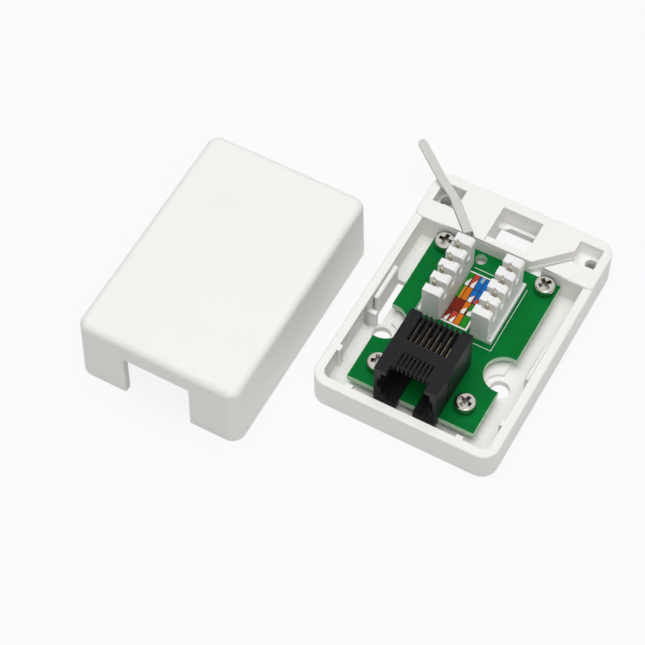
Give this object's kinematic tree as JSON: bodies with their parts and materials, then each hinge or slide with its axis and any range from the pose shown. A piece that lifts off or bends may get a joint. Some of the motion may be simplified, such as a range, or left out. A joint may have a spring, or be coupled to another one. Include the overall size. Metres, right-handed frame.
{
  "type": "ethernet socket",
  "caption": "Surface-mount data outlet: tray with circuit board, plug jack and wire terminal blocks, its cover lifted off beside it.",
  "frame": {"origin": "centre of the tray's underside, the face that lies on the wall", "axes": "+X right along the jack's edge, +Y to the cable end, +Z out of the wall"},
  "size_m": [0.0931, 0.0864, 0.019],
  "materials": {
    "white_tray": "moulded, fine satin",
    "white_cover": "moulded, fine satin",
    "green_board": "solder mask on glass laminate",
    "black_jack": "moulded, satin",
    "black_carrier": "moulded, satin",
    "gold_wire": "gold-plated spring wire",
    "white_block": "moulded, satin",
    "tinned_bronze": "stamped, plated",
    "nickel_screw": "nickel-plated, bright",
    "solder": "soft bright solder",
    "label_paper": "printed fields of colour, semi-gloss",
    "strap_nylon": "moulded nylon, satin"
  },
  "bodies": {
    "base": {"base_tray": "white_tray", "circuit_board": "green_board", "jack_housing": "black_jack", "jack_contact_carrier": "black_carrier", "jack_contact_1": "gold_wire", "jack_contact_2": "gold_wire", "jack_contact_3": "gold_wire", "jack_contact_4": "gold_wire", "jack_contact_5": "gold_wire", "jack_contact_6": "gold_wire", "jack_contact_7": "gold_wire", "jack_contact_8": "gold_wire", "terminal_block_left": "white_block", "terminal_block_right": "white_block", "terminal_contact_left_1": "tinned_bronze", "terminal_contact_left_2": "tinned_bronze", "terminal_contact_left_3": "tinned_bronze", "terminal_contact_left_4": "tinned_bronze", "terminal_contact_right_1": "tinned_bronze", "terminal_contact_right_2": "tinned_bronze", "terminal_contact_right_3": "tinned_bronze", "terminal_contact_right_4": "tinned_bronze", "board_screws": "nickel_screw", "solder_joints": "solder", "wiring_label": "label_paper"},
    "cover": {"cover": "white_cover"},
    "strap": {"cable_strap": "strap_nylon"}
  },
  "joints": [
    {"name": "cover_lift", "type": "slide", "parent": "base", "child": "cover", "axis": [0, 0, 1], "range_m": [0, 0.045]},
    {"name": "strap_lift", "type": "hinge", "parent": "base", "child": "strap", "pos_m": [-0.00888, 0.01885, 0.0086], "axis": [0.7071, 0.7071, 0], "range_deg": [0, 60]}
  ]
}
